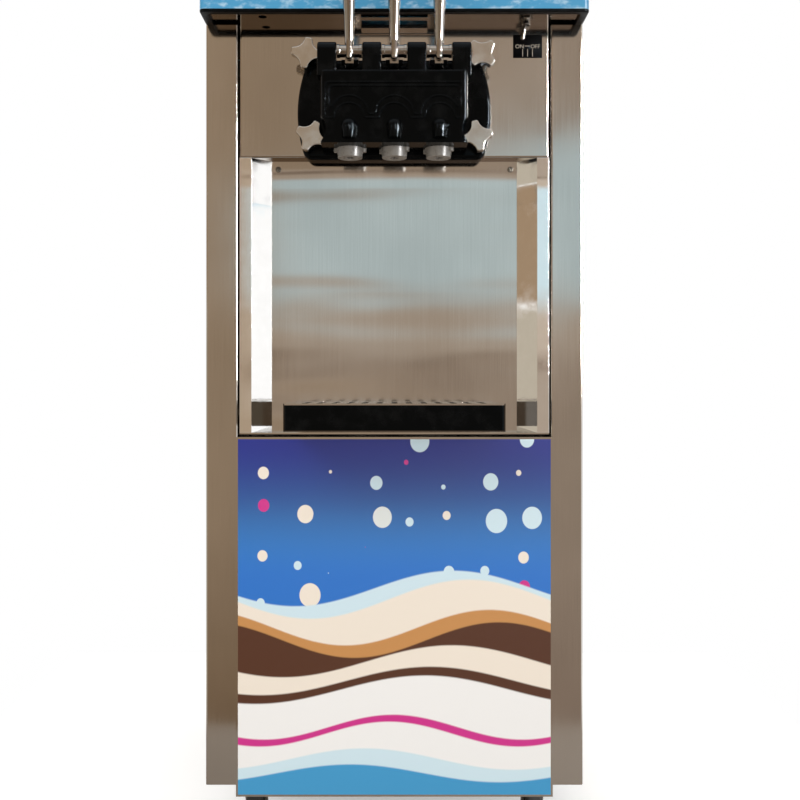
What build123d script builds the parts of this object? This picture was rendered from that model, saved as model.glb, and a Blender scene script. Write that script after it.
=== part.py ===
from build123d import *
from math import cos, pi, radians, sin
import os

# Floor-standing soft-serve machine with three dispensing handles.
# Millimetres. X to the right, Y to the back, Z up; the user stands on the -Y side.
# The origin is on the floor, under the middle of the whole object.

# Cabinet
cabinet_width = 540.0
cabinet_depth = 640.0
cabinet_floor = 100.0
cabinet_height = 1088.0
sheet = 2.0
seam = 2.5
fold_radius = 3.0
column_width = 46.0
column_lip = 12.0
rear_flange = 20.0
pan_rim = 25.0
slide_gap = 0.3
shaft_gap = 0.05

# Ventilation slots in the side and rear panels
vent_length = 110.0
vent_width = 7.0
vent_pitch = 22.0
vent_rows = 9
vent_bottom = 190.0
side_vent_setback = 150.0
rear_vent_rise = 85.0
cord_inlet_radius = 11.0
cord_inlet_height = 170.0
cord_inlet_inset = 70.0

# Upper fascia, splash recess and lower front panel
fascia_height = 190.0
recess_depth = 26.0
recess_step = 4.0
recess_height = 390.0
cheek_strip = 17.0
front_panel_overlap = 3.5
front_panel_drop = 12.0
front_panel_gap = 5.5
front_panel_reach = 12.0
picture_border = 3.0
picture_thickness = 2.0

# Drip tray, its steel holder and its slotted grid
tray_reach = 125.0
tray_width = 287.0
tray_height = 33.0
tray_wall = 2.5
tray_round = 3.0
tray_rise = 42.0
holder_sheet = 1.5
grid_thickness = 2.0
grid_slot_count = 13
grid_slot_width = 8.0
grid_slot_pitch = 20.0
grid_slot_margin = 18.0

# Header with its edge trim, and the deck behind it
header_reach = 51.0
header_depth = 216.0
header_height = 146.0
header_wall = 2.5
header_corner = 8.0
header_top_round = 5.0
edging_height = 4.0
edging_width = 11.0
edging_inner_corner = 3.0
edging_round = 2.5
deck_height = 58.0
bracket_length = 94.0
bracket_depth = 10.0
bracket_drop = 9.0
bracket_plate_length = 114.0
bracket_plate_drop = 5.0
cutout_front = 38.0
cutout_back = 18.0

# Toggle switch under the header, with a spare hole on the other side
switch_inset = 84.0
switch_reach = 20.0
switch_hole_radius = 6.0
switch_box = (20.0, 26.0, 28.0)
switch_bushing_drop = 12.0
switch_bore_radius = 4.2
switch_nut_radius = 9.5
switch_nut_height = 4.0
lever_length = 24.0
lever_root_radius = 2.0
lever_tip_radius = 3.2
lever_ball_radius = 3.7
lever_pin_radius = 1.0
lever_lean = 12.0

# Freezing barrels, beaters and gear motors
barrel_rise = 64.0
barrel_spacing = 130.0
barrel_bore_radius = 50.0
barrel_wall = 4.0
barrel_length = 300.0
barrel_plate = (290.0, 160.0, 6.0)
barrel_end_wall = 6.0
beater_shaft_radius = 10.0
beater_wall_gap = 3.0
beater_blade = 5.0
beater_clear = 12.0
gearbox_length = 70.0
motor_length = 160.0
motor_radius = 50.0
motor_shaft_depth = 24.0
motor_cap_radius = 40.0
motor_cap_length = 17.0
terminal_box = (50.0, 80.0, 15.0)
gearbox_chamfer = 13.5

# Hoppers, their lids and feed tubes
hopper_middle_gap = 6.0
hopper_side_gap = 27.0
hopper_length = 330.0
hopper_depth = 112.0
hopper_wall = 2.0
hopper_corner = 24.0
hopper_setback = 205.0
hopper_rim = 12.0
hopper_outlet_setback = 250.0
hopper_outlet_radius = 10.0
hopper_spigot_wall = 3.0
inlet_boss_wall = 4.0
inlet_boss_height = 14.0
feed_tube_wall = 2.5
feed_tube_height = 104.0
lid_thickness = 4.0
lid_round = 1.5
lid_plug_depth = 12.0
lid_plug_gap = 1.5
lid_grip = (110.0, 24.0, 20.0)
lid_grip_corner = 8.0
lid_grip_round = 6.0

# Dispensing head
plate_half_foot = 125.0
plate_half_waist = 136.5
plate_half_top = 121.0
plate_below = 72.0
plate_above = 68.5
plate_corner = 14.0
plate_thickness = 25.0
plate_round = 6.0
block_half_width = 99.5
block_below = 63.0
block_above = 35.5
block_reach = 85.0
block_round = 7.0
block_edge = 3.0
lug_radius = 11.0
lug_round = 2.0
stud_radius = 4.0
stud_upper = (122.0, 71.5)
stud_lower = (115.5, -43.5)
valve_pitch = 61.0
pivot_rise = 64.5
pivot_reach = 70.0
ear_width = 26.0
ear_radius = 12.0
ear_round = 2.5
rib_half_width = 95.0
rib_top = 19.0
rib_foot = -31.0
rib_corner = 8.0
rib_foot_round = 4.0
rib_width = 2.0
rib_height = 1.4
rib_step = 5.0
arch_radius = 20.0
pod_radius = 10.75
pod_foot_radius = 9.0
pod_top = -41.0
pod_foot = -57.0
flute_radius = 1.5
flute_count = 14
flute_sink = 0.9
outlet_wall = 3.0
outlet_drop = 6.0

# Handles, pivot pin and plungers
pin_radius = 4.0
hub_radius = 8.25
hub_length = 34.0
collar_width = 4.0
collar_rise = 0.8
handle_lean = 14.0
handle_length = 145.0
handle_root_radius = 6.5
handle_grip_radius = 11.5
neck_radius = 5.0
neck_rise = 16.0
foot_reach = 17.0
foot_thickness = 3.0
tang_angle = -50.0
tang_length = 22.0
tang_width = 12.0
nose_radius = 3.5
notch_slack = 1.6
notch_lip = 6.0
notch_back_gap = 2.0
plunger_radius = 12.0
plunger_setback = 20.0
plunger_flat = 2.5
plunger_flat_length = 24.0
plunger_lower_gap = 10.0
groove_depth = 1.5
groove_width = 3.0

# Nozzle caps
cap_wall = 3.0
cap_height = 13.0
cap_floor = 4.0
cap_lug_span = 45.0
cap_lug_width = 9.0
cap_lug_height = 5.0
cap_star_outer = 8.0
cap_star_inner = 4.5
cap_star_points = 6
cap_turns = (0.0, 25.0, 25.0)

# Star knobs
knob_tip_radius = 21.5
knob_bite_radius = 16.0
knob_bite_distance = 30.0
knob_tip_round = 2.5
knob_edge = 1.5
knob_thickness = 12.0
knob_hub_radius = 11.0
knob_hub_height = 8.0
knob_hole_depth = 14.0
knob_room = 2.0
knob_turns = {"upper_left": -9.0, "upper_right": 45.0, "lower_left": -26.0, "lower_right": 13.0}

# Refrigeration in the base
compressor_radius = 82.0
compressor_height = 210.0
compressor_inset = 133.0
compressor_setback = 330.0
compressor_round = 27.0
compressor_feet = (190.0, 150.0, 12.0)
condenser_size = (290.0, 60.0, 270.0)
condenser_inset = 28.0
condenser_rear_gap = 36.0
fin_count = 18
fin_gap = 9.0
fin_depth = 22.0
shroud_depth = 30.0
fan_radius = 108.0
fan_tip_gap = 5.0
fan_hub_radius = 26.0
fan_hub_length = 20.0
fan_blade_count = 5
fan_blade = (23.0, 3.0)
fan_blade_pitch = 28.0
fan_motor_radius = 30.0
fan_motor_length = 45.0
fan_shaft_radius = 5.0
fan_arm_width = 14.0
control_box_size = (180.0, 60.0, 90.0)

# Casters
caster_inset_x = 60.0
caster_inset_front = 75.0
caster_inset_rear = 75.0
caster_plate = (64.0, 3.0)
caster_king_radius = 6.0
caster_boss_radius = 16.0
caster_boss_height = 7.0
caster_crown = 5.0
caster_crown_gap = 0.3
caster_trail = 24.0
caster_leg = 3.0
caster_leg_width = 26.0
wheel_radius = 37.5
wheel_width = 24.0
wheel_side_gap = 1.0
wheel_round = 5.0
axle_radius = 4.0

# Places worked out from the driving dimensions
half_width = cabinet_width / 2
front_y = (tray_reach - cabinet_depth) / 2
rear_y = front_y + cabinet_depth
cabinet_top = cabinet_floor + cabinet_height
column_edge = half_width - column_width
inner_half = half_width - sheet
fascia_half = column_edge - seam
front_panel_half = fascia_half + front_panel_overlap
fascia_bottom = cabinet_top - fascia_height
recess_top = fascia_bottom - recess_step
recess_bottom = recess_top - recess_height
splash_half = fascia_half - cheek_strip - recess_depth
front_panel_bottom = cabinet_floor - front_panel_drop
front_panel_top = recess_bottom - front_panel_gap
base_top = cabinet_floor + sheet
trim_top = cabinet_top + edging_height
header_top = trim_top + header_height
deck_top = trim_top + deck_height
switch_x = half_width - switch_inset
hopper_width = half_width - hopper_side_gap - hopper_middle_gap / 2 - 2 * hopper_rim
hopper_middle = hopper_middle_gap / 2 + hopper_rim + hopper_width / 2
condenser_x = condenser_inset + condenser_size[0] / 2 - inner_half
condenser_y = rear_y - 2 * sheet - condenser_rear_gap - condenser_size[1]
barrel_z = fascia_bottom + barrel_rise
barrel_half = barrel_spacing / 2
barrel_radius = barrel_bore_radius + barrel_wall
shelf_top = barrel_z - barrel_radius - slide_gap
pivot_y = front_y - pivot_reach
pivot_z = barrel_z + pivot_rise
valve_y = pivot_y + plunger_setback
valve_bore_radius = plunger_radius + shaft_gap
block_front = front_y - block_reach
block_bottom = barrel_z - block_below
block_top = barrel_z + block_above
outlet_bottom = block_bottom - outlet_drop
outlet_radius = valve_bore_radius + outlet_wall
nose_z = pivot_z + tang_length * sin(radians(tang_angle))
knob_seat = front_y - plate_thickness
tray_top = recess_bottom + tray_rise
sides = {"left": -1, "right": 1}
valves = {"left": -1, "centre": 0, "right": 1}
ear_places = [k - len(valves) / 2 for k in range(len(valves) + 1)]


def block(x0, x1, y0, y1, z0, z1):
    """Box between two opposite corners."""
    return Pos((x0 + x1) / 2, (y0 + y1) / 2, (z0 + z1) / 2) * Box(x1 - x0, y1 - y0, z1 - z0)


def bar_x(x0, x1, y, z, radius):
    """Round bar along X."""
    return Pos((x0 + x1) / 2, y, z) * Rot(0, 90, 0) * Cylinder(radius, x1 - x0)


def bar_y(x, y0, y1, z, radius):
    """Round bar along Y."""
    return Pos(x, (y0 + y1) / 2, z) * Rot(90, 0, 0) * Cylinder(radius, y1 - y0)


def bar_z(x, y, z0, z1, radius):
    """Round bar along Z."""
    return Pos(x, y, (z0 + z1) / 2) * Cylinder(radius, z1 - z0)


def raise_plan(sketch, z0, z1):
    """Extrude a sketch drawn in plan between two heights."""
    return extrude(Plane.XY.offset(z0) * sketch, z1 - z0)


def press_forward(sketch, x, z, y_front, y_back):
    """Extrude a sketch drawn in the front view, about the point x, z, from y_back forward to y_front."""
    plane = Plane(origin=(x, y_back, z), x_dir=(1, 0, 0), z_dir=(0, -1, 0))
    return extrude(plane * sketch, y_back - y_front)


def rounded_plan(x0, x1, y0, y1, radius):
    """Rectangle in plan with all four corners rounded."""
    return Pos((x0 + x1) / 2, (y0 + y1) / 2) * RectangleRounded(x1 - x0, y1 - y0, radius)


def write(node, shape):
    """Write one node's solid or group of solids."""
    shape.label = node
    export_step(shape, "parts/" + node + ".step")


def vent_slots(width):
    """Column of ventilation slots, as a sketch about its own lowest slot."""
    slot = SlotOverall(vent_length, width)
    return Sketch() + [Pos(0, row * vent_pitch) * slot for row in range(vent_rows)]


def make_base_pan():
    front = front_y + column_lip
    outer = block(-inner_half, inner_half, front, rear_y - sheet, cabinet_floor, base_top + pan_rim)
    hollow = block(-inner_half + sheet, inner_half - sheet, front + sheet, rear_y - 2 * sheet,
                   base_top, base_top + pan_rim)
    return outer - hollow


def make_side_panel(side):
    """Folded side: outer sheet, front column with its return lip, and rear flange."""
    panel = block(inner_half, half_width, front_y, rear_y, cabinet_floor, cabinet_top)
    panel += block(column_edge, half_width, front_y, front_y + sheet, cabinet_floor, cabinet_top)
    panel += block(column_edge, column_edge + sheet, front_y, front_y + column_lip,
                   cabinet_floor, cabinet_top)
    panel = fillet(panel.edges().filter_by(Axis.Z).group_by(Axis.Y)[0], fold_radius)
    panel += block(inner_half - rear_flange, half_width, rear_y - 2 * sheet, rear_y - sheet,
                   base_top + pan_rim, cabinet_top)
    slots_plane = Plane(origin=(half_width, rear_y - side_vent_setback, vent_bottom),
                        x_dir=(0, 1, 0), z_dir=(1, 0, 0))
    panel -= extrude(slots_plane * vent_slots(vent_width), -2 * sheet)
    return panel if side > 0 else mirror(panel, Plane.YZ)


def make_rear_panel():
    panel = block(-inner_half, inner_half, rear_y - sheet, rear_y, cabinet_floor, cabinet_top)
    for x in (-cabinet_width / 4, cabinet_width / 4):
        panel -= press_forward(vent_slots(vent_width), x, vent_bottom + rear_vent_rise,
                               rear_y - 2 * sheet, rear_y + sheet)
    cord_x = half_width - cord_inlet_inset
    return panel - bar_y(cord_x, rear_y - 2 * sheet, rear_y + sheet, cord_inlet_height, cord_inlet_radius)


def make_machine_shelf():
    """Folded shelf between the side panels that carries the barrels and gear motors."""
    front = front_y + recess_depth + sheet
    back = rear_y - 2 * sheet
    shelf = block(-inner_half, inner_half, front, back, shelf_top - sheet, shelf_top)
    for side in sides.values():
        edge = side * (inner_half - sheet / 2)
        shelf += block(edge - sheet / 2, edge + sheet / 2, front + column_lip, back - rear_flange,
                       shelf_top - pan_rim, shelf_top)
    return shelf


def make_fascia():
    """Upper front sheet with folded edges; the barrels' mouths and studs pass through it."""
    sheet_back = front_y + sheet
    fascia = block(-fascia_half, fascia_half, front_y, sheet_back, fascia_bottom, trim_top)
    fascia += block(-fascia_half, fascia_half, front_y, front_y + recess_depth,
                    fascia_bottom, fascia_bottom + sheet)
    for side in sides.values():
        edge = side * (fascia_half - sheet / 2)
        fascia += block(edge - sheet / 2, edge + sheet / 2, front_y, front_y + column_lip,
                        fascia_bottom, trim_top)
    front_edges = fascia.faces().sort_by(Axis.Y)[0].edges().sort_by(Axis.Z)
    fascia = fillet(front_edges[:-1], fold_radius)
    for side in sides.values():
        fascia -= bar_y(side * barrel_half, front_y - sheet, sheet_back + sheet, barrel_z, barrel_bore_radius)
        for x, rise in (stud_upper, stud_lower):
            fascia -= bar_y(side * x, front_y - sheet, sheet_back + sheet, barrel_z + rise,
                            stud_radius + slide_gap)
    return fascia


def make_splash_plate():
    """Back of the recess, with the ledge under it; its head stands behind the fascia, on the shelf's edge."""
    plate_front = front_y + recess_depth
    plate = block(-splash_half, splash_half, plate_front, plate_front + sheet, recess_bottom, shelf_top)
    return plate + block(-fascia_half, fascia_half, front_y, plate_front + sheet,
                         recess_bottom - sheet, recess_bottom)


def make_splash_cheeks():
    """Polished strips at both sides of the recess, each folded back at 45 degrees."""
    plan = Polyline((fascia_half, front_y), (fascia_half - cheek_strip, front_y),
                    (splash_half, front_y + recess_depth), (splash_half, front_y + recess_depth + sheet),
                    (splash_half + sheet, front_y + recess_depth + sheet),
                    (fascia_half - cheek_strip + sheet, front_y + sheet), (fascia_half, front_y + sheet),
                    close=True)
    strip = raise_plan(make_face(plan), recess_bottom, fascia_bottom)
    return Compound([strip, mirror(strip, Plane.YZ)])


def make_front_panel():
    """Shallow folded pan that hangs in front of the columns, open at its front for the picture sheet."""
    half = front_panel_half
    top = front_panel_top
    pan_front = front_y - front_panel_reach
    pan = block(-half, half, pan_front, front_y, front_panel_bottom, top)
    pan -= block(-half + sheet, half - sheet, pan_front + picture_thickness + sheet, front_y,
                 front_panel_bottom + sheet, top - sheet)
    pan -= block(-half + picture_border, half - picture_border, pan_front, pan_front + picture_thickness,
                 front_panel_bottom + picture_border, top - picture_border)
    return pan


def make_picture_panel():
    half = front_panel_half - picture_border
    pan_front = front_y - front_panel_reach
    return block(-half, half, pan_front, pan_front + picture_thickness,
                 front_panel_bottom + picture_border, front_panel_top - picture_border)


def header_plan(back_y, inset, corner):
    """Plan of the header: straight back, rounded front corners, drawn in by inset."""
    half = half_width - inset
    front = front_y - header_reach + inset
    back = back_y - inset
    plan = rounded_plan(-half, half, front, back, corner)
    return plan + Pos(0, (front + corner + back) / 2) * Rectangle(2 * half, back - front - corner)


def make_header_edging():
    """Black ring round the foot of the header and deck, rounded at its lower outer edge."""
    outer = header_plan(rear_y, 0, header_corner)
    ring = raise_plan(outer, cabinet_top, trim_top)
    ring = fillet(ring.faces().sort_by(Axis.Z)[0].edges(), edging_round)
    return ring - raise_plan(header_plan(rear_y, edging_width, edging_inner_corner), cabinet_top, trim_top)


def make_header_shell():
    """Sign box over the front, open underneath."""
    back = front_y - header_reach + header_depth
    shell = raise_plan(header_plan(back, 0, header_corner), trim_top, header_top)
    shell = fillet(shell.faces().sort_by(Axis.Z)[-1].edges(), header_top_round)
    hollow = header_plan(back, header_wall, header_corner - header_wall)
    return shell - raise_plan(hollow, trim_top, header_top - header_wall)


def make_header_underside():
    back = front_y - header_reach + header_depth
    inset = header_wall + slide_gap
    plate = raise_plan(header_plan(back, inset, header_corner - inset), trim_top, trim_top + sheet)
    for side in sides.values():
        plate -= bar_z(side * switch_x, front_y - switch_reach, trim_top - sheet, trim_top + 2 * sheet,
                       switch_hole_radius)
    half = bracket_length / 2
    return plate - block(-half, half, front_y - cutout_front, front_y - cutout_back, trim_top - sheet,
                         trim_top + 2 * sheet)


def make_header_bracket():
    """Bar across the middle of the fascia, under the header, on a thin folded plate."""
    half = bracket_length / 2
    plate_half = bracket_plate_length / 2
    low = trim_top - edging_height - bracket_drop
    bar = block(-half, half, front_y - sheet - bracket_depth, front_y - sheet, low, trim_top)
    return bar + block(-plate_half, plate_half, front_y - sheet, front_y, low - bracket_plate_drop, trim_top)


def hopper_box(side):
    """Left, right, front and back of one hopper's outer walls, in plan."""
    middle = side * hopper_middle
    front = front_y + hopper_setback
    return middle - hopper_width / 2, middle + hopper_width / 2, front, front + hopper_length


def make_top_deck():
    """Deck behind the header with folded-down skirts, cut out for the two hoppers."""
    front = front_y - header_reach + header_depth
    deck = block(-half_width, half_width, front, rear_y, trim_top, deck_top)
    deck = fillet(deck.edges().group_by(Axis.Z)[-1].sort_by(Axis.Y)[1:], fold_radius)
    deck -= block(-inner_half, inner_half, front, rear_y - sheet, trim_top, deck_top - sheet)
    for side in sides.values():
        x0, x1, y0, y1 = hopper_box(side)
        hole = rounded_plan(x0 - slide_gap, x1 + slide_gap, y0 - slide_gap, y1 + slide_gap,
                            hopper_corner + slide_gap)
        deck -= raise_plan(hole, deck_top - 2 * sheet, deck_top + sheet)
    return deck


def make_hopper(side):
    """Rounded tank that hangs by its rim, with an outlet spigot into its barrel."""
    x0, x1, y0, y1 = hopper_box(side)
    bottom = deck_top - hopper_depth
    outlet_x = side * barrel_half
    outlet_y = front_y + hopper_outlet_setback
    spigot_radius = hopper_outlet_radius + hopper_spigot_wall
    tank = raise_plan(rounded_plan(x0, x1, y0, y1, hopper_corner), bottom, deck_top)
    rim = rounded_plan(x0 - hopper_rim, x1 + hopper_rim, y0 - hopper_rim, y1 + hopper_rim,
                       hopper_corner + hopper_rim)
    tank += raise_plan(rim, deck_top, deck_top + sheet)
    tank += bar_z(outlet_x, outlet_y, barrel_z + barrel_radius + sheet, bottom + sheet, spigot_radius)
    inside = rounded_plan(x0 + hopper_wall, x1 - hopper_wall, y0 + hopper_wall, y1 - hopper_wall,
                          hopper_corner - hopper_wall)
    tank -= raise_plan(inside, bottom + hopper_wall, deck_top + 2 * sheet)
    return tank - bar_z(outlet_x, outlet_y, barrel_z + barrel_radius, deck_top, hopper_outlet_radius)


def make_hopper_lid(side):
    """Flat lid on the rim, with a plug ring inside the mouth and a grip on top."""
    x0, x1, y0, y1 = hopper_box(side)
    seat = deck_top + sheet
    top = seat + lid_thickness
    cover = rounded_plan(x0 - hopper_rim, x1 + hopper_rim, y0 - hopper_rim, y1 + hopper_rim,
                         hopper_corner + hopper_rim)
    inset = hopper_wall + lid_plug_gap
    plug = rounded_plan(x0 + inset, x1 - inset, y0 + inset, y1 - inset, hopper_corner - inset)
    hollow_inset = inset + lid_thickness
    hollow = rounded_plan(x0 + hollow_inset, x1 - hollow_inset, y0 + hollow_inset, y1 - hollow_inset,
                          hopper_corner - hollow_inset)
    lid = raise_plan(cover, seat, top)
    lid = fillet(lid.faces().sort_by(Axis.Z)[-1].edges(), lid_round)
    lid += raise_plan(plug - hollow, seat - lid_plug_depth, seat)
    length, width, height = lid_grip
    grip = raise_plan(Pos((x0 + x1) / 2, (y0 + y1) / 2) * RectangleRounded(length, width, lid_grip_corner),
                      top, top + height)
    return lid + fillet(grip.faces().sort_by(Axis.Z)[-1].edges(), lid_grip_round)


def make_feed_tube(side):
    """Air tube that stands in the hopper's outlet."""
    x = side * barrel_half
    y = front_y + hopper_outlet_setback
    foot = barrel_z + barrel_radius + 2 * sheet
    radius = hopper_outlet_radius - shaft_gap
    tube = bar_z(x, y, foot, foot + feed_tube_height, radius)
    tube -= bar_z(x, y, foot, foot + feed_tube_height, radius - feed_tube_wall)
    return tube - bar_y(x, y - 2 * radius, y, deck_top - hopper_depth + 2 * radius, radius / 2)


def make_switch_body():
    """Switch box above the underside, with its bushing and nut below."""
    x = switch_x
    y = front_y - switch_reach
    width, depth, height = switch_box
    top = trim_top + sheet
    low = trim_top - switch_bushing_drop
    body = Pos(x, y, top + height / 2) * Box(width, depth, height)
    body += bar_z(x, y, low, top, switch_hole_radius - slide_gap)
    nut = Pos(x, y) * RegularPolygon(switch_nut_radius, 6)
    body += raise_plan(nut, trim_top - switch_nut_height, trim_top)
    body -= bar_z(x, y, low, trim_top, switch_bore_radius)
    return body - bar_y(x, y - switch_hole_radius, y + switch_hole_radius, trim_top - switch_bushing_drop / 2,
                        lever_pin_radius + shaft_gap)


def make_switch_lever():
    """Bat lever that hangs out of the bushing on its ball and cross pin, leaning to one side."""
    pivot = Pos(switch_x, front_y - switch_reach, trim_top - switch_bushing_drop / 2)
    bat = Pos(0, 0, -lever_length / 2) * Cone(lever_tip_radius, lever_root_radius, lever_length)
    bat += Pos(0, 0, -lever_length) * Sphere(lever_tip_radius)
    bat += Sphere(lever_ball_radius)
    pin_reach = switch_hole_radius - slide_gap
    bat += bar_y(0, -pin_reach, pin_reach, 0, lever_pin_radius)
    return pivot * Rot(0, lever_lean, 0) * bat


def make_freezer_barrels():
    """Both freezing barrels welded to their front plate, with inlets on top and the head's studs in front."""
    width, height, thickness = barrel_plate
    plate_front = front_y + sheet
    barrel_front = plate_front + thickness
    barrel_back = barrel_front + barrel_length
    inlet_y = front_y + hopper_outlet_setback
    socket_radius = hopper_outlet_radius + hopper_spigot_wall + shaft_gap
    barrel_top = barrel_z + barrel_radius
    solid = block(-width / 2, width / 2, plate_front, barrel_front,
                  barrel_z - barrel_radius, barrel_z + height / 2)
    for side in sides.values():
        x = side * barrel_half
        solid += bar_y(x, barrel_front, barrel_back, barrel_z, barrel_radius)
        solid += bar_z(x, inlet_y, barrel_z, barrel_top + inlet_boss_height, socket_radius + inlet_boss_wall)
    for side in sides.values():
        x = side * barrel_half
        solid -= bar_y(x, plate_front, barrel_back - barrel_end_wall, barrel_z, barrel_bore_radius)
        solid -= bar_y(x, plate_front, barrel_back, barrel_z, beater_shaft_radius + shaft_gap)
        solid -= bar_z(x, inlet_y, barrel_z, barrel_top + inlet_boss_height, hopper_outlet_radius)
        solid -= bar_z(x, inlet_y, barrel_top, barrel_top + inlet_boss_height, socket_radius)
    for side in sides.values():
        for x, rise in (stud_upper, stud_lower):
            solid += bar_y(side * x, knob_seat - knob_hole_depth + slide_gap, plate_front, barrel_z + rise,
                           stud_radius)
    return solid


def make_beater(side):
    """Twisted scraper ribbon on a drive shaft."""
    x = side * barrel_half
    start = front_y + sheet + beater_clear
    inner_end = front_y + sheet + barrel_plate[2] + barrel_length - barrel_end_wall
    span = inner_end - beater_clear - start
    section = Rectangle(2 * (barrel_bore_radius - beater_wall_gap), beater_blade).face()
    ribbon = Solid.extrude_linear_with_rotation(section, (0, 0, 0), (0, 0, span), 360)
    ribbon = Pos(x, start, barrel_z) * Rot(-90, 0, 0) * ribbon
    shaft_end = inner_end + barrel_end_wall + motor_shaft_depth
    return ribbon + bar_y(x, start, shaft_end, barrel_z, beater_shaft_radius)


def make_gear_motor(side):
    """Gear housing on the shelf behind the barrel, with its motor and terminal box."""
    x = side * barrel_half
    front = front_y + sheet + barrel_plate[2] + barrel_length + slide_gap
    back = front + gearbox_length
    half = barrel_radius
    low = barrel_z - barrel_radius - slide_gap
    housing = block(x - half, x + half, front, back, low, barrel_z + half)
    housing = chamfer(housing.edges().filter_by(Axis.Y).group_by(Axis.Z)[-1], gearbox_chamfer)
    housing += bar_y(x, back, back + motor_length, barrel_z, motor_radius)
    motor_end = back + motor_length
    housing += bar_y(x, motor_end, motor_end + motor_cap_length, barrel_z, motor_cap_radius)
    box_width, box_length, box_rise = terminal_box
    box_front = (back + motor_end - box_length) / 2
    housing += block(x - box_width / 2, x + box_width / 2, box_front, box_front + box_length,
                     barrel_z, barrel_z + motor_radius + box_rise)
    return housing - bar_y(x, front, front + motor_shaft_depth + slide_gap, barrel_z,
                           beater_shaft_radius + shaft_gap)


def make_dispensing_head():
    """Moulded head: barrel-shaped back plate, valve block, pivot ears, arch ribs, pods and outlets."""
    foot, waist, top = plate_half_foot, plate_half_waist, plate_half_top
    outline = Line((-foot, -plate_below), (foot, -plate_below))
    outline += ThreePointArc((foot, -plate_below), (waist, 0), (top, plate_above))
    outline += Line((top, plate_above), (-top, plate_above))
    outline += ThreePointArc((-top, plate_above), (-waist, 0), (-foot, -plate_below))
    face = make_face(outline)
    face = fillet(face.vertices(), plate_corner)
    head = press_forward(face, 0, barrel_z, knob_seat, front_y)
    head = fillet(head.faces().sort_by(Axis.Y)[0].edges(), plate_round)
    for side in sides.values():
        lug = bar_y(side * stud_upper[0], knob_seat, front_y, barrel_z + stud_upper[1], lug_radius)
        head += fillet(lug.edges().filter_by(GeomType.CIRCLE).sort_by(Axis.Y)[0], lug_round)
    body = block(-block_half_width, block_half_width, block_front, front_y - plate_thickness / 2,
                 block_bottom, block_top)
    body = fillet(body.edges().filter_by(Axis.Z).group_by(Axis.Y)[0], block_round)
    head += fillet(body.faces().sort_by(Axis.Z)[-1].edges(), block_edge)
    for place in ear_places:
        head += Pos(place * valve_pitch, 0, 0) * make_ear()
    head += press_forward(make_arch_rib(0), 0, barrel_z, block_front - rib_height, block_front)
    head += press_forward(make_arch_rib(rib_step), 0, barrel_z, block_front - rib_height, block_front)
    for place in valves.values():
        x = place * valve_pitch
        head += Pos(x, block_front, barrel_z) * make_pod()
        head += bar_z(x, valve_y, outlet_bottom, block_bottom + outlet_wall, outlet_radius)
    for place in valves.values():
        head -= bar_z(place * valve_pitch, valve_y, outlet_bottom, block_top, valve_bore_radius)
    head -= bar_x(-2 * valve_pitch, 2 * valve_pitch, pivot_y, pivot_z, pin_radius + shaft_gap)
    for side in sides.values():
        for x, rise in (stud_upper, stud_lower):
            head -= bar_y(side * x, knob_seat, front_y, barrel_z + rise, stud_radius + slide_gap)
        x, rise = stud_lower
        head -= bar_y(side * x, block_front - pod_radius, knob_seat, barrel_z + rise,
                      knob_tip_radius + knob_room)
    return head


def make_ear():
    """Upright ear with a round head that carries the handles' pin, about the machine's middle."""
    half = ear_width / 2
    ear = block(-half, half, pivot_y - ear_radius, pivot_y + ear_radius, block_top - block_round, pivot_z)
    ear += bar_x(-half, half, pivot_y, pivot_z, ear_radius)
    return fillet(ear.faces().filter_by(Axis.X).edges(), ear_round)


def make_arch_rib(inset):
    """Closed raised line on the block's front that runs over the three pods in arches."""
    half = rib_half_width - inset
    top = rib_top - inset
    foot = rib_foot + inset
    radius = arch_radius + inset
    outline = Polyline((-valve_pitch - radius, foot), (-half, foot), (-half, top), (half, top), (half, foot),
                       (valve_pitch + radius, foot))
    for place in (1, 0, -1):
        x = place * valve_pitch
        outline += ThreePointArc((x + radius, foot), (x, foot + radius), (x - radius, foot))
        if place > -1:
            outline += Line((x - radius, foot), (x - valve_pitch + radius, foot))
    outer = make_face(outline)
    outer = fillet(outer.vertices().group_by(Axis.Y)[-1], rib_corner)
    outer = offset(offset(outer, -rib_foot_round), rib_foot_round)
    return outer - offset(outer, -rib_width)


def make_pod():
    """Tapered, fluted pod with a domed top, half sunk in the block's front, about the barrel's height."""
    dome = pod_radius
    profile = Polyline((0, pod_foot), (pod_foot_radius, pod_foot), (pod_radius, pod_top))
    profile += ThreePointArc((pod_radius, pod_top), (pod_radius * cos(pi / 4), pod_top + dome * sin(pi / 4)),
                             (0, pod_top + dome))
    profile += Line((0, pod_top + dome), (0, pod_foot))
    pod = revolve(Plane.XZ * make_face(profile), Axis.Z)
    for k in range(flute_count):
        angle = 2 * pi * k / flute_count
        ring = pod_radius + flute_radius - flute_sink
        pod -= bar_z(ring * cos(angle), ring * sin(angle), pod_foot, pod_top, flute_radius)
    return pod


def make_handle_pin():
    reach = ear_places[-1] * valve_pitch + ear_width / 2
    return bar_x(-reach, reach, pivot_y, pivot_z, pin_radius)


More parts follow.
